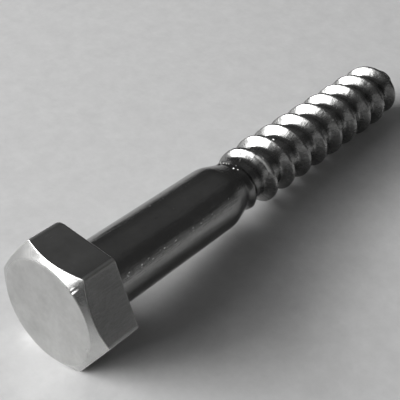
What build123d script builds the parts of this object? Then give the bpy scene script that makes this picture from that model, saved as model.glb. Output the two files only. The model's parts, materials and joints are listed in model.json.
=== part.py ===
"""Hexagon-head lag screw, M8 x 60: one forged and rolled piece of steel.

The screw is built upright, with the bearing face of its head on the XY plane,
the head below it and the point above, and is then laid down as it comes to rest
on a level floor: a flat of the head and one crest of the thread touch z = 0.
There the head is towards -X and the point towards +X, and the origin is on the
floor, in the middle of the screw's box. Sizes are in millimetres and degrees.
"""
import os
from math import atan, ceil, cos, degrees, radians, sin, tan

from build123d import *

# ---- driving dimensions ------------------------------------------------------
# Head
across_flats = 13.0
head_height = 5.1
end_face_inset = 0.625  # from a flat in to the circle that the chamfer leaves
head_chamfer_angle = 33.0  # between the chamfer and the end face
head_fillet = 0.4  # where the shank leaves the head

# Whole length from the bearing face, and the small flat end that forging leaves
under_head_length = 61.0
tip_diameter = 0.4

# Shank, and the neck between it and the thread
shank_diameter = 7.85
shank_length = 20.6
neck_diameter = 6.3
neck_taper_length = 2.7  # from the shank's end down to the neck

# Coarse wood-screw thread, right-handed
thread_diameter = 7.9
root_diameter = 5.5
pitch = 3.6
flank_angle = 30.0  # from a plane square to the axis
crest_width = 0.35
helix_lead = 3.14  # helix start to neck; it sets where each crest comes round
root_taper_length = 3.7  # from the neck down to the root
run_out_length = 4.1  # from the neck to the first crest of full height

# Point. Lengths are measured back from the tip
tip_bare_length = 0.6
core_cone_length = 5.6
thread_cone_length = 4.4
point_shoulder_diameter = 6.2  # over the thread, where the point turns blunter
point_shoulder_length = 2.8
point_thread_diameter = 1.1  # over the last bit of thread

# ---- sizes that follow from them ---------------------------------------------
# Heights are distances from the bearing face, towards the point.
shank_radius = shank_diameter / 2
neck_radius = neck_diameter / 2
thread_radius = thread_diameter / 2
root_radius = root_diameter / 2
tip_radius = tip_diameter / 2
end_face_radius = across_flats / 2 - end_face_inset
corner_radius = across_flats / 2 / cos(radians(30))
neck_height = shank_length + neck_taper_length
root_start = neck_height + root_taper_length
helix_start = neck_height - helix_lead
full_thread_start = neck_height + run_out_length
full_thread_end = under_head_length - thread_cone_length
core_cone_start = under_head_length - core_cone_length
point_shoulder_height = under_head_length - point_shoulder_length
point_thread_end = under_head_length - tip_bare_length
overshoot = 0.6  # how far a shape that trims or joins another runs past it

# Each turn passes once under the screw, half a turn on from where the helix
# starts. The screw tips until the first of these crests meets the floor.
shoulder_radius = point_shoulder_diameter / 2
shoulder_slope = (thread_radius - shoulder_radius) / (
    point_shoulder_height - full_thread_end
)
turns = ceil((point_thread_end - helix_start) / pitch)
crest_heights = [helix_start + (turn + 0.5) * pitch for turn in range(turns)]
tilt, rest_crest_height = min(
    (atan((across_flats / 2 - thread_radius + trimmed) / height), height)
    for height in crest_heights
    if full_thread_start < height < point_shoulder_height
    for trimmed in [max(height - full_thread_end, 0) * shoulder_slope]
)

# ---- one turn of the thread --------------------------------------------------
# Its section reaches in past the root, so that it joins the core all the way
# and still stands on it where the core narrows to the point.
crest_half = crest_width / 2
foot_radius = root_radius - overshoot / 2
foot_half = crest_half + (thread_radius - foot_radius) * tan(radians(flank_angle))
keel_radius = tip_radius * 1.5

with BuildPart() as thread_turn:
    with BuildLine() as crest_line:
        Helix(pitch=pitch, height=pitch, radius=thread_radius)
    with BuildSketch(Plane.XZ) as ridge_section:
        with BuildLine():
            Polyline(
                (keel_radius, -foot_half),
                (foot_radius, -foot_half),
                (thread_radius, -crest_half),
                (thread_radius, crest_half),
                (foot_radius, foot_half),
                (keel_radius, foot_half),
                close=True,
            )
        make_face()
    sweep(path=crest_line.line, is_frenet=True)

# ---- thread ------------------------------------------------------------------
with BuildPart() as thread:
    with Locations(*[(0, 0, helix_start + turn * pitch) for turn in range(turns)]):
        add(thread_turn.part)

    # Run-out: the crest rises from inside the neck to its full height
    run_out_slope = (thread_radius - neck_radius) / (full_thread_start - neck_height)
    with BuildSketch(Plane.XZ) as run_out_outline:
        with BuildLine():
            Polyline(
                (0, neck_height - overshoot),
                (neck_radius - overshoot * run_out_slope, neck_height - overshoot),
                (thread_radius + overshoot * run_out_slope, full_thread_start + overshoot),
                (thread_radius + overshoot, full_thread_start + overshoot),
                (thread_radius + overshoot, helix_start - pitch),
                (0, helix_start - pitch),
                close=True,
            )
        make_face()
    revolve(axis=Axis.Z, mode=Mode.SUBTRACT)

    # Point: the crest comes down in two steps, the second one blunter
    with BuildSketch(Plane.XZ) as point_outline:
        with BuildLine():
            Polyline(
                (thread_radius + overshoot * shoulder_slope, full_thread_end - overshoot),
                (shoulder_radius, point_shoulder_height),
                (point_thread_diameter / 2, point_thread_end),
                (0, point_thread_end),
                (0, point_thread_end + pitch * 2),
                (thread_radius + overshoot, point_thread_end + pitch * 2),
                (thread_radius + overshoot, full_thread_end - overshoot),
                close=True,
            )
        make_face()
    revolve(axis=Axis.Z, mode=Mode.SUBTRACT)

# ---- the screw, upright ------------------------------------------------------
with BuildPart() as upright_screw:
    # Head: a hexagon, turned down at its end face
    with BuildSketch(Plane.XY) as hexagon:
        RegularPolygon(across_flats / 2, 6, major_radius=False, rotation=30)
    extrude(amount=-head_height)
    rim = corner_radius + overshoot
    chamfer_depth = (rim - end_face_radius) * tan(radians(head_chamfer_angle))
    with BuildSketch(Plane.XZ) as head_outline:
        with BuildLine():
            Polyline(
                (0, 0),
                (rim, 0),
                (rim, chamfer_depth - head_height),
                (end_face_radius, -head_height),
                (0, -head_height),
                close=True,
            )
        make_face()
    revolve(axis=Axis.Z, mode=Mode.INTERSECT)

    # Shank, neck, core of the thread and point, in one turned outline
    with BuildSketch(Plane.XZ) as core_outline:
        with BuildLine():
            Polyline(
                (0, -head_height / 2),
                (shank_radius, -head_height / 2),
                (shank_radius, shank_length),
                (neck_radius, neck_height),
                (root_radius, root_start),
                (root_radius, core_cone_start),
                (tip_radius, under_head_length),
                (0, under_head_length),
                close=True,
            )
        make_face()
    revolve(axis=Axis.Z)
    shank_foot = (
        upright_screw.edges()
        .filter_by(GeomType.CIRCLE)
        .filter_by(lambda edge: abs(edge.radius - shank_radius) < shank_radius / 1000)
        .sort_by(Axis.Z)[0]
    )
    fillet(shank_foot, radius=head_fillet)
    add(thread.part)

# ---- the screw, lying as it rests --------------------------------------------
toward_point = Vector(cos(tilt), 0, -sin(tilt))
upward = Vector(sin(tilt), 0, cos(tilt))
back_x = -head_height * cos(tilt) - end_face_radius * sin(tilt)
front_x = under_head_length * cos(tilt) + tip_radius * sin(tilt)
seat_x = -(back_x + front_x) / 2
seat_z = across_flats / 2 * cos(tilt)

with BuildPart(Plane((seat_x, 0, seat_z), x_dir=upward, z_dir=toward_point)) as lag_screw:
    add(upright_screw.part)

lag_screw.part.label = "lag_screw"

os.makedirs("parts", exist_ok=True)
export_step(lag_screw.part, "parts/lag_screw.step")

box = lag_screw.part.bounding_box()
print("resting tilt, degrees:", round(degrees(tilt), 3))
print("bearing face centre:", round(seat_x, 3), 0, round(seat_z, 3))
print("crest that carries it, from the bearing face:", round(rest_crest_height, 3))
print("solids:", len(lag_screw.part.solids()), "valid:", lag_screw.part.is_valid)
print("thread volume:", round(thread.part.volume, 1))
print("screw volume:", round(lag_screw.part.volume, 1))
print("box:", box.min, box.max)
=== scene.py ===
# %% [markdown]
# # A lag screw lying on a table
# A lag screw is one piece of steel: a forged hexagon head, a drawn shank and a
# rolled wood thread that runs out into a point. The imported CAD model is the fixed
# frame of this scene, so it is loaded first.

# %% Load the imported screw
import json
import math

import bmesh
import bpy
from mathutils import Matrix, Vector


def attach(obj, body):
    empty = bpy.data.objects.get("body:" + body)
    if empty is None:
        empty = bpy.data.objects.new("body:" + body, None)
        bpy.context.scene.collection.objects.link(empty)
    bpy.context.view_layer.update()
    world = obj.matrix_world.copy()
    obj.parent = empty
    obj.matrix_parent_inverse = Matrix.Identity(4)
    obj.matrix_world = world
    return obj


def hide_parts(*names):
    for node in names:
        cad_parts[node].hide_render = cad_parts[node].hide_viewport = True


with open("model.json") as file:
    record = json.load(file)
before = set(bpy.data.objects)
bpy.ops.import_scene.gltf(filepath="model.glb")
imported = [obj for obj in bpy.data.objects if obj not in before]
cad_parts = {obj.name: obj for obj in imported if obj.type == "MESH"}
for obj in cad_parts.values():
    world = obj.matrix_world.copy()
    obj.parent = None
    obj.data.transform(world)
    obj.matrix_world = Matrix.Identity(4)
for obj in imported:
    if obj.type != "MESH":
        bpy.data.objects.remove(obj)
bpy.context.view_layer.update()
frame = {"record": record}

# %% [markdown]
# Every size below is in millimetres, measured along the screw from the bearing
# face under the head. They are the sizes the CAD model was made with, but for two:
# the helix starts 0.42 mm nearer to the head, so that the crests lie where the real
# screw has them, and the thread starts to narrow for the point 0.9 mm sooner. The
# mesh is built upright with the screw's axis along Z, because rows and rings are
# simple to write there, and it is laid down at the end.

# %% Sizes of the screw
MM = 0.001
across_flats, head_height = 13.0, 5.1
end_face_inset = 0.625
end_face_radius = across_flats / 2 - end_face_inset
chamfer_angle = math.radians(33)
shank_radius, shank_length, foot_fillet = 3.925, 20.6, 0.4
neck_radius, neck_height = 3.15, 23.3
thread_radius, root_radius, pitch = 3.95, 2.75, 3.6
flank_slope = 1 / math.tan(math.radians(30))
crest_width = 0.35
helix_start = 19.74
root_start, full_thread_start, full_thread_end = 27.0, 27.4, 55.7
core_cone_start, length = 55.4, 61.0
point_shoulder = (58.2, 3.1)
point_thread_end = (60.4, 0.55)
tip_radius = 0.2

# %% [markdown]
# The screw lies tilted, because its head is thicker than its thread. The record's
# shank mount says where the axis runs: its place is 10.5 mm from the bearing face.
# From these come the axes of a frame that stands on the bearing face.

# %% Place of the screw
shank_mount = next(m for m in frame["record"]["mounts"] if m["name"] == "shank")
toward_point = Vector(shank_mount["axis"]).normalized()
mount_height = 10.5
seat = Vector(shank_mount["pos_m"]) - toward_point * mount_height * MM
upward = Vector((-toward_point.z, 0, toward_point.x))
sideways = toward_point.cross(upward)
lay_down = Matrix.Translation(seat) @ Matrix(
    (
        (upward.x, sideways.x, toward_point.x),
        (upward.y, sideways.y, toward_point.y),
        (upward.z, sideways.z, toward_point.z),
    )
).to_4x4()
print("seat, mm:", [round(c * 1000, 3) for c in seat])
print("tilt, degrees:", round(math.degrees(math.asin(-toward_point.z)), 3))

# %% [markdown]
# Node trees are written in Python here. One small class adds nodes to a tree, and
# another wraps a socket, so that an expression such as 1 - height / pitch writes
# its own Math nodes. Both serve the geometry and the steel.


# %% A node tree and its numbers
class Graph:
    """A node tree that nodes are added to."""

    def __init__(self, tree):
        self.tree = tree

    def node(self, kind, settings=None, inputs=None):
        """Adds a node: its settings first, then the value or link of each socket."""
        made = self.tree.nodes.new(kind)
        for name, value in (settings or {}).items():
            setattr(made, name, value)
        for key, value in (inputs or {}).items():
            value = value.socket if isinstance(value, Number) else value
            if isinstance(value, bpy.types.NodeSocket):
                self.tree.links.new(value, made.inputs[key])
            else:
                made.inputs[key].default_value = value
        return made

    def number(self, socket):
        return Number(self, socket)


class Number:
    """A number that varies over a mesh. Python's operators add Math nodes to it."""

    def __init__(self, graph, socket):
        self.graph, self.socket = graph, socket

    def math(self, operation, *others):
        inputs = dict(enumerate((self,) + others))
        made = self.graph.node("ShaderNodeMath", {"operation": operation}, inputs)
        return Number(self.graph, made.outputs[0])

    def __add__(self, other):
        return self.math("ADD", other)

    def __sub__(self, other):
        return self.math("SUBTRACT", other)

    def __rsub__(self, other):
        return (self * -1.0).math("ADD", other)

    def __mul__(self, other):
        return self.math("MULTIPLY", other)

    def __truediv__(self, other):
        return self.math("DIVIDE", other)

    def __abs__(self):
        return self.math("ABSOLUTE")

    __radd__ = __add__
    __rmul__ = __mul__

    def least(self, other, blend=0.0):
        """The smaller of two, with the corner between them rounded over blend."""
        return self.math("SMOOTH_MIN", other, blend) if blend else self.math("MINIMUM", other)

    def most(self, other, blend=0.0):
        return self.math("SMOOTH_MAX", other, blend) if blend else self.math("MAXIMUM", other)

    def band(self, start, end):
        """0 before start, 1 past end, and a smooth step in between."""
        made = self.graph.node(
            "ShaderNodeMapRange",
            {"interpolation_type": "SMOOTHSTEP"},
            {"Value": self, "From Min": start, "From Max": end},
        )
        return Number(self.graph, made.outputs["Result"])


# %% [markdown]
# The thread is a rule: at an angle round the axis, the crest is a little further
# along it, and one turn later it is one pitch further. A flat grid can be wound up
# by this rule in Geometry Nodes. Its long side becomes the turns, and its short
# side spans one pitch, with its rows closest where the crest and the root bend.
# Neighbouring turns share an edge, so merging them closes the skin. A section swept
# along a spiral would give a ridge that still had to be joined to a core.

# %% Rows across one pitch
columns = 144
crest_half = crest_width / 2
foot_half = crest_half + (thread_radius - root_radius) / flank_slope
half_rows = [0.0, 0.45 * crest_half, 0.8 * crest_half, 1.15 * crest_half, 1.6 * crest_half]
half_rows += [crest_half + (foot_half - crest_half) * s for s in (0.32, 0.5, 0.68, 0.84, 1.0)]
half_rows += [foot_half + (pitch / 2 - foot_half) * s for s in (0.16, 0.36, 0.66, 1.0)]
row_offsets = [-offset for offset in half_rows[:0:-1]] + half_rows
turns = math.ceil((length + tip_radius - helix_start) / pitch + 0.5)
print("rows across a pitch:", len(row_offsets), "turns:", turns)


# %% The winding tree
def named_input(tree, name, value, kind="NodeSocketFloat"):
    socket = tree.interface.new_socket(name, in_out="INPUT", socket_type=kind)
    if value is not None:
        socket.default_value = value
    return socket.identifier


unevenness = 0.06
winding = bpy.data.node_groups.new("wind_the_thread", "GeometryNodeTree")
winding.is_modifier = True
size_inputs = {
    "Thread radius": thread_radius,
    "Root radius": root_radius,
    "Neck radius": neck_radius,
    "Neck height": neck_height,
    "Pitch": pitch,
    "Crest half width": crest_half,
    "Flank slope": flank_slope,
    "Helix start": helix_start,
    "Length": length,
    "Unevenness": unevenness,
}
named_input(winding, "Geometry", None, "NodeSocketGeometry")
identifiers = {name: named_input(winding, name, 0.0) for name in size_inputs}
identifiers["Steel"] = named_input(winding, "Steel", None, "NodeSocketMaterial")
winding.interface.new_socket("Geometry", in_out="OUTPUT", socket_type="NodeSocketGeometry")

graph = Graph(winding)
given = graph.node("NodeGroupInput")
size = {name: graph.number(given.outputs[name]) for name in size_inputs}

# %% [markdown]
# First the flat grid is read as two numbers for each vertex: how far round the
# screw it is, and which row of the pitch it belongs to. A float curve turns the
# row into its distance from the crest.

# %% Grid to angle and offset
grid = graph.node(
    "GeometryNodeMeshGrid",
    inputs={
        "Size X": 1.0,
        "Size Y": 1.0,
        "Vertices X": columns * turns + 1,
        "Vertices Y": len(row_offsets),
    },
)
grid_place = graph.node("GeometryNodeInputPosition").outputs[0]
flat = graph.node("ShaderNodeSeparateXYZ", inputs={0: grid_place})
turn = (graph.number(flat.outputs["X"]) + 0.5) * turns
row = graph.number(flat.outputs["Y"]) + 0.5
row_curve = graph.node("ShaderNodeFloatCurve", inputs={"Value": row})
points = row_curve.mapping.curves[0].points
while len(points) < len(row_offsets):
    points.new(0.5, 0.5)
for number, (point, from_crest) in enumerate(zip(points, row_offsets)):
    point.handle_type = "VECTOR"
    point.location = (number / (len(row_offsets) - 1), from_crest / pitch + 0.5)
row_curve.mapping.update()
offset = (graph.number(row_curve.outputs[0]) - 0.5) * size["Pitch"]

# %% [markdown]
# The height along the axis follows from both. Rows that would lie before the neck
# or past the tip are pressed onto those two rings, where merging removes them.
# The core is the neck, the straight root and the cone of the point. The crest
# rises out of the neck and comes down again in two steps at the point.

# %% Height, core and crest
height = size["Helix start"] + size["Pitch"] * turn + offset
height = height.most(size["Neck height"]).least(size["Length"] + tip_radius)
past_neck = height - size["Neck height"]
neck_slope = (neck_radius - root_radius) / (root_start - neck_height)
cone_slope = (root_radius - tip_radius) / (length - core_cone_start)
core = (size["Neck radius"] - past_neck * neck_slope).most(size["Root radius"], 0.12)
cone = (size["Length"] - height) * cone_slope + tip_radius
core = core.least(cone, 0.3)
rise_slope = (thread_radius - neck_radius) / (full_thread_start - neck_height)
shoulder_height, shoulder_radius = point_shoulder
last_height, last_radius = point_thread_end
shoulder_slope = (thread_radius - shoulder_radius) / (shoulder_height - full_thread_end)
end_slope = (shoulder_radius - last_radius) / (last_height - shoulder_height)
crest = (size["Neck radius"] + past_neck * rise_slope).least(size["Thread radius"], 0.25)
crest = crest.least(shoulder_radius + (shoulder_height - height) * shoulder_slope, 0.4)
crest = crest.least(shoulder_radius + (shoulder_height - height) * end_slope, 0.6)
crest = crest.most(core)

# %% [markdown]
# The ridge stands between core and crest. Its section has a narrow crest, straight
# flanks and a wide hollow root, and both bends are rounded as rolling leaves them.
# A low noise makes the rolled skin a little uneven, as on the real screw.

# %% Ridge, and the radius of the skin
flank = size["Thread radius"] + (size["Crest half width"] - abs(offset)) * size["Flank slope"]
section = flank.least(size["Thread radius"], 0.1).most(size["Root radius"], 0.4)
ridge = (section - size["Root radius"]) / (size["Thread radius"] - size["Root radius"])
radius = core + ridge * (crest - core)
tip_close = size["Length"] + tip_radius - height
radius = radius.least(tip_close.most(0.0))
angle = turn * (2 * math.pi)


def on_skin(radius):
    """The place at this radius, at the grid's angle and height."""
    parts = {
        0: radius * angle.math("COSINE"),
        1: radius * angle.math("SINE"),
        2: height.least(size["Length"]),
    }
    return graph.node("ShaderNodeCombineXYZ", inputs=parts)


where = on_skin(radius)
waver = graph.node(
    "ShaderNodeTexNoise",
    {"noise_dimensions": "3D"},
    {"Vector": where.outputs[0], "Scale": 0.55, "Detail": 2.0, "Roughness": 0.6},
)
fade = past_neck.band(0.0, 1.2) * tip_close.band(0.3, 2.0)
high_noise = 0.62  # the skin sinks where the noise is below this, and never rises
uneven = (graph.number(waver.outputs[0]) - high_noise) * size["Unevenness"] * fade * 2.0
radius = radius + uneven.least(0.0)
where = on_skin(radius)

# %% [markdown]
# How high a point stands on the ridge is kept on the mesh for the steel. It is
# stored before the grid is wound up, because it is read from the flat grid.

# %% Skin out of the grid
marked = graph.node(
    "GeometryNodeStoreNamedAttribute",
    {"data_type": "FLOAT", "domain": "POINT"},
    {
        "Geometry": grid.outputs["Mesh"],
        "Name": "ridge",
        "Value": ridge * past_neck.band(0.0, 4.0),
    },
)
wound = graph.node(
    "GeometryNodeSetPosition",
    inputs={"Geometry": marked.outputs[0], "Position": where.outputs[0]},
)
merge_distance = 0.0005
closed = graph.node(
    "GeometryNodeMergeByDistance",
    inputs={"Geometry": wound.outputs[0], "Distance": merge_distance},
)
smooth = graph.node("GeometryNodeSetShadeSmooth", inputs={"Geometry": closed.outputs[0]})
real = graph.node("GeometryNodeRealizeInstances", inputs={"Geometry": smooth.outputs[0]})
coated = graph.node(
    "GeometryNodeSetMaterial",
    inputs={"Geometry": real.outputs[0], "Material": given.outputs["Steel"]},
)
graph.node("NodeGroupOutput", inputs={0: coated.outputs[0]})
print("winding tree:", len(winding.nodes), "nodes")

# %% [markdown]
# The modifier's inputs are set by their identifiers before it is first evaluated.
# The result is then turned into a plain mesh, and the carrier object goes.

# %% Wind the thread
steel = bpy.data.materials.new("bright_steel")
carrier = bpy.data.objects.new("thread_carrier", bpy.data.meshes.new("thread_carrier"))
bpy.context.scene.collection.objects.link(carrier)
modifier = carrier.modifiers.new("wind", "NODES")
modifier.node_group = winding
for name, value in size_inputs.items():
    modifier[identifiers[name]] = value
modifier[identifiers["Steel"]] = steel
evaluated = carrier.evaluated_get(bpy.context.evaluated_depsgraph_get())
thread_mesh = bpy.data.meshes.new_from_object(evaluated)
bpy.data.objects.remove(carrier)
print("thread mesh:", len(thread_mesh.vertices), "vertices,", len(thread_mesh.polygons), "faces")

# %% [markdown]
# The head and the shank are rings round the same axis. A ring is written as a
# height and a radius that may change with the angle, so that a hexagon and a circle
# are both rings, and every corner can be rounded by a short run of rings. A bevel
# modifier would also round the corners, but it can't grade them so finely, and the
# chamfer's curved edge on each flat would come out uneven.


# %% Hexagon in polar form
corner_round = 0.3
corner_reach = (across_flats / 2 - corner_round) / math.cos(math.pi / 6)
corner_turn = math.atan2(
    corner_round * math.sin(math.pi / 6), corner_reach + corner_round * math.cos(math.pi / 6)
)


def hexagon_radius(angle):
    """Distance from the axis to the hexagon's outline, its corners rounded."""
    off_corner = (angle % (math.pi / 3)) - math.pi / 6
    if abs(off_corner) < corner_turn:
        across = corner_reach * math.sin(off_corner)
        return corner_reach * math.cos(off_corner) + math.sqrt(corner_round**2 - across**2)
    return across_flats / 2 / math.cos(math.pi / 6 - abs(off_corner))


# %% Angles of the columns
near_corner = [0.0, 0.5 * corner_turn, corner_turn, 2.4 * corner_turn]
steps = columns // 12 - len(near_corner) + 1
rest_of_half = math.pi / 6 - near_corner[-1]
half_sector = near_corner + [
    near_corner[-1] + rest_of_half * (s + 1) / steps for s in range(steps)
]
hexagon_angles = []
for sector in range(6):
    middle = math.pi / 6 + sector * math.pi / 3
    hexagon_angles += [middle - a for a in half_sector[:0:-1]]
    hexagon_angles += [middle + a for a in half_sector[:-1]]
round_angles = [2 * math.pi * k / columns for k in range(columns)]
print("columns on the hexagon:", len(hexagon_angles))


# %% Rings of the head
rim_round_in, rim_round_out = 0.22, 0.16  # how far the rim's bend reaches each way
arris_round_in, arris_round_out = 0.09, 0.08
bearing_round = 0.2


def bend(start, corner, end, steps):
    """Points of a smooth bend from start to end round a corner."""
    made = []
    for step in range(steps + 1):
        t = step / steps
        parts = zip(start, corner, end)
        made.append(tuple((1 - t) ** 2 * a + 2 * t * (1 - t) * b + t * t * c for a, b, c in parts))
    return made


def head_profile(angle):
    """(height, radius) from the end face to the bearing face, at one angle."""
    flat = hexagon_radius(angle)
    fall, run = math.sin(chamfer_angle), math.cos(chamfer_angle)
    rim = -head_height
    arris = rim + (flat - end_face_radius) * math.tan(chamfer_angle)
    profile = [(rim, r) for r in (1.2, 2.4, 3.6, 4.6, 5.3)]
    foot = (rim + rim_round_out * fall, end_face_radius + rim_round_out * run)
    profile += bend((rim, end_face_radius - rim_round_in), (rim, end_face_radius), foot, 4)
    inner = (arris - arris_round_in * fall, flat - arris_round_in * run)
    for s in (0.12, 0.5, 0.88):
        profile.append(tuple(a + (b - a) * s for a, b in zip(foot, inner)))
    profile += bend(inner, (arris, flat), (arris + arris_round_out, flat), 3)
    top, low = arris + arris_round_out, -bearing_round
    profile += [(top + (low - top) * s, flat) for s in (0.03, 0.2, 0.4, 0.6, 0.8, 0.97)]
    profile += bend((low, flat), (0, flat), (0, flat + low), 4)
    return profile


# %% Rings of the bearing face and the shank
def shank_profile():
    """(height, radius) from the foot of the shank to the neck."""
    foot = shank_radius + foot_fillet
    taper = (shank_radius - neck_radius) / (neck_height - shank_length)
    first_row, rows_reach = 0.9, shank_length - 1.5

    def past_shank(run):
        return (shank_length + run, shank_radius - run * taper)

    def short_of_neck(run):
        return (neck_height - run, neck_radius + run * taper)

    profile = [
        (foot_fillet * (1 - math.cos(a)), foot - foot_fillet * math.sin(a))
        for a in [math.pi / 2 * s / 6 for s in range(7)]
    ]
    profile += [(foot_fillet + 0.05, shank_radius)]
    profile += [(first_row + rows_reach * s / 14, shank_radius) for s in range(15)]
    shank_end = (shank_length, shank_radius)
    profile += bend((shank_length - 0.5, shank_radius), shank_end, past_shank(0.6), 4)[1:]
    profile += [past_shank(1.4)]
    profile += bend(short_of_neck(0.7), short_of_neck(0.2), (neck_height, neck_radius), 3)
    return profile


# %% [markdown]
# The rings become vertices, and faces join each ring to the next. Between the
# hexagon and the shank the columns slide from the hexagon's angles to even ones,
# which doesn't show on the flat bearing face. Then the thread is welded on.

# %% Head and shank mesh
rings = []
for column_rings in zip(*[head_profile(a) for a in hexagon_angles]):
    rings.append([(r, a, h) for (h, r), a in zip(column_rings, hexagon_angles)])
last_hexagon = rings[-1]
foot_radius = shank_profile()[0][1]
for s in (0.06, 0.35, 0.68, 0.94):  # shares of the way in across the bearing face
    ring = []
    for (r, a, h), even in zip(last_hexagon, round_angles):
        turned = a + (even - a) * s
        ring.append((r + (foot_radius - r) * s, turned, 0.0))
    rings.append(ring)
for h, r in shank_profile():
    rings.append([(r, a, h) for a in round_angles])

screw_shell = bmesh.new()
ridge_layer = screw_shell.verts.layers.float.new("ridge")
edge_layer = screw_shell.verts.layers.float.new("edge")
torn_layer = screw_shell.verts.layers.float.new("torn")
made_rings = [
    [screw_shell.verts.new((r * math.cos(a), r * math.sin(a), h)) for r, a, h in ring]
    for ring in rings
]
pole = screw_shell.verts.new((0, 0, -head_height))
for k in range(columns):
    following = (k + 1) % columns
    screw_shell.faces.new((pole, made_rings[0][following], made_rings[0][k]))
    for ring, after in zip(made_rings, made_rings[1:]):
        screw_shell.faces.new((ring[k], ring[following], after[following], after[k]))
print("head and shank:", len(screw_shell.verts), "vertices")

# %% Mark the worn edges
arris_rings, bearing_rings = (14, 15), (25, 26)  # rings inside those two bends
for number, ring in enumerate(made_rings[: len(head_profile(0.0))]):
    for k, vertex in enumerate(ring):
        off_corner = abs((hexagon_angles[k] % (math.pi / 3)) - math.pi / 6)
        on_bend = number in arris_rings + bearing_rings
        on_corner = number > arris_rings[1] and off_corner < 1.1 * corner_turn
        vertex[edge_layer] = 1.0 if on_bend or on_corner else 0.0

# %% Weld the thread on
screw_shell.from_mesh(thread_mesh)
bmesh.ops.remove_doubles(screw_shell, verts=screw_shell.verts, dist=0.001)
bmesh.ops.dissolve_degenerate(screw_shell, dist=0.0002, edges=screw_shell.edges)
loose = [e for e in screw_shell.edges if not e.link_faces]
bmesh.ops.delete(screw_shell, geom=loose, context="EDGES")
bmesh.ops.recalc_face_normals(screw_shell, faces=screw_shell.faces)

# %% [markdown]
# Handling leaves marks, and they are shapes too. A nick crosses the chamfer by one
# corner, another corner is worn, and the rim of the end face has two knocks. The
# rolling dies left small torn burrs where the thread starts. The mesh is made finer
# round each spot, and a rounded patch of it is pressed in or drawn out. A
# displacement texture could do the same, but it would need the whole mesh as fine.


# %% Press and draw the skin
def refine(centre, reach, cuts, finest=0.05):
    """Divides the edges within reach of a spot, but for those that are fine already."""
    near = [
        e
        for e in screw_shell.edges
        if abs(e.verts[0].co.z - centre.z) < reach
        and all((v.co - centre).length < reach for v in e.verts)
        and e.calc_length() > finest
    ]
    bmesh.ops.subdivide_edges(screw_shell, edges=near, cuts=cuts, use_grid_fill=True)


def push(centre, outward, along, length, width, distance):
    """Moves a long rounded patch of the skin outwards, or inwards if distance is below 0."""
    across = outward.cross(along)
    reach = 3 * length
    for vertex in screw_shell.verts:
        if abs(vertex.co.z - centre.z) < reach and (vertex.co - centre).length < reach:
            away = vertex.co - centre
            u, v = away.dot(along) / length, away.dot(across) / width
            vertex.co += outward * distance * math.exp(-u * u - v * v)


def skin_at(height, degrees):
    """The skin's place and outward direction nearest to a height and an angle."""
    a = math.radians(degrees)
    ray = Vector((math.cos(a), math.sin(a)))
    band = [v for v in screw_shell.verts if abs(v.co.z - height) < 0.3 and v.co.xy.dot(ray) > 2.0]

    def distance(v):
        return (v.co.z - height) ** 2 + (v.co.xy - ray * v.co.xy.length).length_squared

    best = min(band, key=distance)
    return best.co.copy(), best.normal.copy()


# %% The nick on the chamfer
nick_angle = math.radians(32)
round_there = Vector((math.cos(nick_angle), math.sin(nick_angle), 0))
down_slope = round_there * math.cos(chamfer_angle) + Vector((0, 0, math.sin(chamfer_angle)))
off_chamfer = round_there * math.sin(chamfer_angle) - Vector((0, 0, math.cos(chamfer_angle)))
beside = off_chamfer.cross(down_slope)
nick_radius, nick_height = 6.16, -4.915
nick = round_there * nick_radius + Vector((0, 0, nick_height))
refine(nick, 1.3, 3)
push(nick, off_chamfer, down_slope, 0.36, 0.11, -0.05)
push(nick + beside * 0.18, off_chamfer, down_slope, 0.3, 0.08, 0.018)
push(nick - beside * 0.2 + down_slope * 0.2, off_chamfer, down_slope, 0.28, 0.08, 0.014)

# %% A worn corner of the head, towards the shank
corner_angle = math.radians(-30)
corner_way = Vector((math.cos(corner_angle), math.sin(corner_angle), 0))
worn_inset = 0.1  # from the sharp corner in to the middle of the wear
corner = corner_way * (across_flats / 2 / math.cos(math.radians(30)) - worn_inset)
refine(corner, 1.4, 2)
off_corner_way = (corner_way + Vector((0, 0, 0.6))).normalized()
push(corner, off_corner_way, Vector((0, 0, 1)), 0.34, 0.34, -0.11)

# %% Two shallow knocks on the rim of the end face
# Angle in degrees, distance from the axis, and length, width and depth
knocks = [(104, 5.84, 0.45, 0.15, 0.09), (99, 5.5, 0.3, 0.12, 0.05)]
off_end_face = Vector((0, 0, -1))
for degrees, radius_at, length_of, width_of, depth_of in knocks:
    a = math.radians(degrees)
    knock = Vector((radius_at * math.cos(a), radius_at * math.sin(a), -head_height))
    refine(knock, 1.0, 3)
    along_rim = Vector((-math.sin(a), math.cos(a), 0))
    push(knock, off_end_face, along_rim, length_of, width_of, -depth_of)

# %% The burrs of the thread's start
# Height, angle in degrees, and size
screw_shell.normal_update()
burrs = [
    (23.2, -33, 0.12), (23.55, -25, 0.09), (23.6, -17, 0.07), (23.7, -12, 0.1), (24.05, 2, 0.12),
    (23.4, 4.5, 0.07), (23.6, 12, 0.08), (23.9, -20, 0.07), (24.9, -58, 0.17), (28.4, -40, 0.1),
    (27.2, 26, 0.07), (27.1, 54, 0.05), (30.7, 6.5, 0.12), (31.0, 4, 0.08), (26.3, -18, 0.06),
]
for height_at, degrees, size_of in burrs:
    burr, outward = skin_at(height_at, degrees)
    refine(burr, 0.42, 3)
    lean = outward.cross(Vector((0, 0, 1))).normalized()
    push(burr, outward, lean, 1.9 * size_of, 0.9 * size_of, 1.5 * size_of)
    for vertex in screw_shell.verts:
        if abs(vertex.co.z - burr.z) < 0.4 and (vertex.co - burr).length < 2.2 * size_of:
            vertex[torn_layer] = max(vertex[torn_layer], 1.6 - (vertex.co - burr).length / size_of)
print("burrs:", len(burrs))

# %% [markdown]
# Where a finer patch meets the plain mesh, some faces have been left with many
# sides. Cut straight across, two of them could share a cut, and the skin would no
# longer be closed. So each is cut like a pie, from a new vertex in its middle, and
# that vertex takes the mean of what its neighbours carry.

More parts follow.
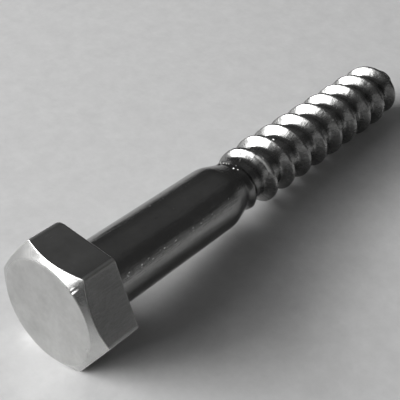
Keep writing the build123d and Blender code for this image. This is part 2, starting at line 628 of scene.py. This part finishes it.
# %% Cut the many-sided faces
many_sided = [f for f in screw_shell.faces if len(f.verts) > 4]
for middle in bmesh.ops.poke(screw_shell, faces=many_sided)["verts"]:
    rim = [e.other_vert(middle) for e in middle.link_edges]
    for layer in (ridge_layer, edge_layer, torn_layer):
        middle[layer] = sum(v[layer] for v in rim) / len(rim)
print("many-sided faces:", len(many_sided))

# %% Lay the screw down
open_edges = sum(1 for e in screw_shell.edges if len(e.link_faces) != 2)
print("edges without two faces:", open_edges)
print("volume, mm3:", round(screw_shell.calc_volume(signed=True), 1))
for face in screw_shell.faces:
    face.smooth = True

screw_mesh = bpy.data.meshes.new("lag_screw_steel")
screw_shell.to_mesh(screw_mesh)
screw_shell.free()
screw_mesh.transform(Matrix.Scale(MM, 4))
screw_mesh.transform(lay_down)
screw_mesh.materials.clear()
screw_mesh.materials.append(steel)
screw = bpy.data.objects.new("lag_screw_steel", screw_mesh)
bpy.context.scene.collection.objects.link(screw)
triangles = sum(len(p.vertices) - 2 for p in screw_mesh.polygons)
print("screw:", triangles, "triangles")

# %% [markdown]
# Bare steel is a metal, so nearly all of its look is in how it mirrors the room.
# The material reads the mesh's own place and turns it into the screw's frame in
# millimetres: up, side, and height from the bearing face. Radius and angle follow.

# %% Steel: where on the screw
steel.use_nodes = True
steel.node_tree.nodes.clear()
finish = Graph(steel.node_tree)
upright = finish.node(
    "ShaderNodeMapping",
    {"vector_type": "TEXTURE"},
    {
        "Vector": finish.node("ShaderNodeTexCoord").outputs["Object"],
        "Location": seat,
        "Rotation": lay_down.to_euler(),
        "Scale": (MM, MM, MM),
    },
).outputs[0]
place = finish.node("ShaderNodeSeparateXYZ", inputs={0: upright})
up, side, along = (finish.number(place.outputs[axis]) for axis in "XYZ")
from_axis = (up * up + side * side).math("SQRT")
round_turn = side.math("ARCTAN2", up) / (2 * math.pi)
ridge_here, edge_here, torn_here = (
    finish.number(finish.node("ShaderNodeAttribute", {"attribute_name": name}).outputs["Fac"])
    for name in ("ridge", "edge", "torn")
)

# %% [markdown]
# Each part of the screw was worked in its own way, so each gets a mask: the struck
# end face, the chamfer, the six flats, the drawn shank and the rolled thread.

# %% Steel: masks of the worked surfaces
on_end = 1 - along.band(-head_height + 0.01, -head_height + 0.06)
in_sector = (round_turn * 6 + 0.5).math("FRACT") - 0.5
toward_flat = from_axis * (in_sector * (math.pi / 3)).math("COSINE")
on_flat = toward_flat.band(across_flats / 2 - 0.06, across_flats / 2 - 0.02)
on_head = 1 - along.band(-0.05, 0.0)
on_chamfer = on_head * (1 - on_flat) * (1 - on_end)
on_thread = along.band(neck_height - 0.4, neck_height + 3.0)
on_shank = (1 - on_head) * (1 - on_thread)

# %% [markdown]
# The patterns come next. Drawing leaves fine lines along the shank and the flats,
# so that noise is stretched along the axis. Rolling leaves fine lines across the
# flanks, so that noise changes mostly with the angle. A cloudy noise shifts the tone.


# %% Steel: patterns
def noise(vector, scale, detail=3.0, rough=0.55):
    made = finish.node(
        "ShaderNodeTexNoise",
        inputs={"Vector": vector, "Scale": scale, "Detail": detail, "Roughness": rough},
    )
    return finish.number(made.outputs[0])


def stretched(x, y, z):
    """The place in the screw's frame, stretched unevenly."""
    inputs = {0: upright, 1: (x, y, z)}
    return finish.node("ShaderNodeVectorMath", {"operation": "MULTIPLY"}, inputs).outputs[0]


clouds = noise(upright, 0.4, 4.0)
grain = noise(upright, 1.8, 5.0, 0.6)
drawn_lines = noise(stretched(3.0, 3.0, 0.16), 1.0, 5.0, 0.7)
rolled_place = finish.node(
    "ShaderNodeCombineXYZ",
    inputs={0: up / from_axis * 10, 1: side / from_axis * 10, 2: along * 0.3},
)
rolled_lines = noise(rolled_place.outputs[0], 1.0, 3.0, 0.6)

# %% [markdown]
# Pits are small cells of a Voronoi pattern, and only some of the cells have one.
# They crowd together in two streaks along the shank, where the bar was scored by
# the drawing die, and they are drawn out along the axis with the metal.

# %% Steel: pits
degrees_round = round_turn * 360


def streak(degrees, half_width, start, end):
    """A mask that is 1 along a line on the shank and fades to its sides and ends."""
    beside_line = 1 - abs(degrees_round - degrees).band(0.4 * half_width, half_width)
    return beside_line * along.band(start, start + 2.0) * (1 - along.band(end - 2.0, end))


cells = finish.node(
    "ShaderNodeTexVoronoi", {"feature": "F1"}, {"Vector": stretched(3.4, 3.4, 2.4), "Scale": 1.0}
)
cell_parts = finish.node("ShaderNodeSeparateXYZ", inputs={0: cells.outputs["Color"]})
chosen = finish.number(cell_parts.outputs["X"])
clustered = noise(stretched(0.3, 0.3, 0.7), 1.0, 2.0).band(0.36, 0.46)
scored = clustered * streak(55.5, 4.5, 0.3, 17.0).most(streak(-21, 4, 8.0, 14.0) * 0.9)
has_pit = (chosen - 0.012 + 0.75 * scored).band(0.975, 0.99)
pits = has_pit * (1 - finish.number(cells.outputs["Distance"]).band(0.1, 0.4))

# %% [markdown]
# The heights of all these patterns are added up in millimetres for one Bump node.

# %% Steel: relief
ripple = noise(stretched(0.8, 0.8, 0.25), 1.0, 2.0)
relief = grain * (0.012 - 0.002 * on_thread + 0.008 * on_shank)
relief = relief + ripple * (0.05 * on_shank + 0.06 * on_thread)
relief = relief + drawn_lines * (0.03 * on_shank + 0.006 * on_flat * on_head)
relief = relief + rolled_lines * (0.014 * on_thread * ridge_here.band(0.05, 0.3))
relief = relief - pits * (0.1 * on_shank * (1 - scored) + 0.02 * scored + 0.03 * on_thread)
bump = finish.node("ShaderNodeBump", inputs={"Height": relief, "Strength": 1.0, "Distance": MM})

# %% [markdown]
# The tone is how much of the room each surface mirrors. The struck end face and
# the turned chamfer are bright. The flats are painted darker towards one side as
# painted shade, and the drawn shank and the thread are dark all round, the thread's
# roots a little darker as painted shade. Clouds and grain shift the tone a little.
# Painted shade darkens a band of the chamfer and the side of the thread turned away
# from the window, more towards the point. The shank grows darker towards the neck,
# and a dark blot lies on the neck.

# %% Steel: tone
# Painted shade: the flats are painted darker towards one side.
flat_tone_and_shade = 0.38 - 0.17 * side.band(1.0, 6.0)
tone = 0.57 * on_end + 0.56 * on_chamfer + flat_tone_and_shade * on_flat * on_head + 0.275 * on_shank
# Painted shade: the thread's roots get a darker tone than its crests.
tone = tone + on_thread * (0.26 + 0.07 * ridge_here.band(0.1, 0.5))
tone = tone + 0.16 * edge_here
# Painted shade: a band of the chamfer by one corner is painted darker.
chamfer_painted_shade = on_chamfer * degrees_round.band(24, 33) * (1 - degrees_round.band(46, 88))
# The shank is darker towards the neck.
at_neck = on_shank * along.band(shank_length - 3.0, neck_height - 1.0)
tone = tone * (0.78 + 0.44 * clouds) * (0.88 + 0.24 * grain)
tone = tone * (1 - 0.62 * chamfer_painted_shade) * (1 - 0.35 * at_neck)
# A dark blot on the neck.
blot = (1 - abs(along - 22.9).band(0.1, 0.8)) * (1 - abs(degrees_round - 60).band(10, 28))
# Painted shade: the side of the thread turned away from the window is painted darker, more towards
# the point.
thread_painted_shade = on_thread * degrees_round.band(20, 40) * (1 - degrees_round.band(60, 75))
tone = tone * (1 - thread_painted_shade * (0.18 + 0.2 * along.band(42, 55)))
tone = tone * (1 - 0.45 * blot) - 0.08 * pits * (1 - scored)

# %% [markdown]
# Torn metal is bright and rough whatever the surface round it is like. It is found
# in the scored streaks, on the burrs, and along a lip at the start of the thread.

# %% Steel: torn metal
lip = ridge_here.band(0.68, 0.78) * along.band(25.6, 26.2) * (1 - along.band(27.2, 27.5))
lip = lip * degrees_round.band(10, 20) * (1 - degrees_round.band(48, 58))
torn = torn_here.most(lip * 0.4).least(1)
scar = (pits * scored).most(torn)
tone = tone * (1 - scar) + 0.95 * scar

# %% Steel: roughness
roughness = 0.36 * on_end + 0.24 * on_chamfer + 0.24 * on_flat * on_head
roughness = roughness + 0.14 * on_shank + 0.27 * on_thread
roughness = roughness + 0.12 * (clouds - 0.5) + 0.1 * (drawn_lines - 0.5) * (1 - on_end)
roughness = roughness + on_thread * (0.12 * (rolled_lines - 0.5) + 0.12 * (grain - 0.5))
torn_side = torn.most(1 - degrees_round.band(-5, 5))
roughness = roughness + 0.2 * edge_here + scar * (0.1 + 0.4 * torn_side)

# %% Steel: shader
colour = finish.node("ShaderNodeCombineColor", inputs={0: tone, 1: tone, 2: tone * 0.985})
shader = finish.node(
    "ShaderNodeBsdfPrincipled",
    inputs={
        "Base Color": colour.outputs[0],
        "Metallic": 1.0,
        "Roughness": roughness,
        "Normal": bump.outputs[0],
    },
)
finish.node("ShaderNodeOutputMaterial", inputs={"Surface": shader.outputs[0]})
print("steel:", len(steel.node_tree.nodes), "nodes")

# %% Hand the piece over
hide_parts("lag_screw")
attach(screw, "root")

# %% [markdown]
# The floor is a plain sheet of pale paper. The light is a window low on the far
# side of the head, with wider and fainter sheets round it, because bare steel shows
# a lamp's edge as a hard line. Two weak ceilings fill the shadows, and a pale wall
# on the near side is what the underside of the screw mirrors.

# %% Floor
floor_mesh = bpy.data.meshes.new("floor")
floor_reach = 4.0
corner_signs = ((-1, -1), (1, -1), (1, 1), (-1, 1))
floor_corners = [(x * floor_reach, y * floor_reach, 0) for x, y in corner_signs]
floor_mesh.from_pydata(floor_corners, [], [(0, 1, 2, 3)])
floor_sheet = bpy.data.objects.new("floor", floor_mesh)
bpy.context.scene.collection.objects.link(floor_sheet)
paper = bpy.data.materials.new("pale_paper")
paper.use_nodes = True
paper.node_tree.nodes.clear()
sheet = Graph(paper.node_tree)
sheet_place = sheet.node("ShaderNodeTexCoord").outputs["Object"]


def sheet_noise(scale):
    made = sheet.node(
        "ShaderNodeTexNoise",
        inputs={"Vector": sheet_place, "Scale": scale, "Detail": 4.0, "Roughness": 0.65},
    )
    return sheet.number(made.outputs[0])


blotch, fibre = sheet_noise(320.0), sheet_noise(900.0)
shade = 0.7 + 0.16 * (blotch - 0.5) + 0.08 * (fibre - 0.5)
sheet_colour = sheet.node("ShaderNodeCombineColor", inputs={0: shade, 1: shade, 2: shade})
sheet_bump = sheet.node(
    "ShaderNodeBump",
    inputs={"Height": blotch * 0.03 + fibre * 0.012, "Strength": 1.0, "Distance": MM},
)
sheet_shader = sheet.node(
    "ShaderNodeBsdfPrincipled",
    inputs={
        "Base Color": sheet_colour.outputs[0],
        "Roughness": 0.9,
        "Specular IOR Level": 0.1,
        "Normal": sheet_bump.outputs[0],
    },
)
sheet.node("ShaderNodeOutputMaterial", inputs={"Surface": sheet_shader.outputs[0]})
floor_mesh.materials.append(paper)

# %% [markdown]
# A lamp is given by where it stands as seen from the screw, by its size, and by its
# radiance, which is how bright it looks. Energy follows from radiance and area, so
# a lamp can be made wider without making its mirror image any brighter.

# %% Lamps
lamp_target = Vector((0, 0, 0.005))


def soft_lamp(name, azimuth, elevation, distance, width, height, radiance):
    """A rectangular lamp of an even radiance, aimed at the screw."""
    lamp = bpy.data.lights.new(name, "AREA")
    lamp.shape = "RECTANGLE"
    lamp.size, lamp.size_y = width, height
    lamp.energy = radiance * math.pi * width * height
    a, e = math.radians(azimuth), math.radians(elevation)
    outward = Vector((math.cos(a) * math.cos(e), math.sin(a) * math.cos(e), math.sin(e)))
    lamp_object = bpy.data.objects.new(name, lamp)
    bpy.context.scene.collection.objects.link(lamp_object)
    lamp_object.location = lamp_target + outward * distance
    lamp_object.rotation_euler = outward.to_track_quat("Z", "Y").to_euler()


# Name, azimuth and elevation in degrees, distance, width and height in metres, radiance
for lamp_values in (
    ("window", 140, 23.5, 0.9, 0.64, 0.17, 18.0),
    ("window_wide", 145, 24.5, 0.9, 1.05, 0.25, 6.0),
    ("window_top", 142, 40, 0.9, 1.0, 0.3, 0.7),
    ("glow", 144, 21, 1.2, 1.36, 0.5, 2.75),
    ("ceiling", 35, 55, 1.2, 1.8, 1.0, 0.04),
    ("ceiling_low", 30, 42, 1.2, 1.8, 1.7, 0.015),
    ("pale_wall", -48, 6, 1.5, 1.4, 0.38, 0.175),
):
    soft_lamp(*lamp_values)

world = bpy.data.worlds.new("room")
bpy.context.scene.world = world
world.use_nodes = True
background = world.node_tree.nodes["Background"]
background.inputs["Color"].default_value = (1, 1, 1, 1)
background.inputs["Strength"].default_value = 0.068

# %% Camera
eye = bpy.data.cameras.new("eye")
eye.lens, eye.sensor_width = 78.105, 36.0
eye.clip_start = 0.005
camera = bpy.data.objects.new("eye", eye)
camera.location = (-0.069416, -0.042801, 0.071460)
camera.rotation_euler = [math.radians(a) for a in (48.503, -4.980, -49.917)]
bpy.context.scene.collection.objects.link(camera)
bpy.context.scene.camera = camera
bpy.context.scene.view_settings.view_transform = "Standard"
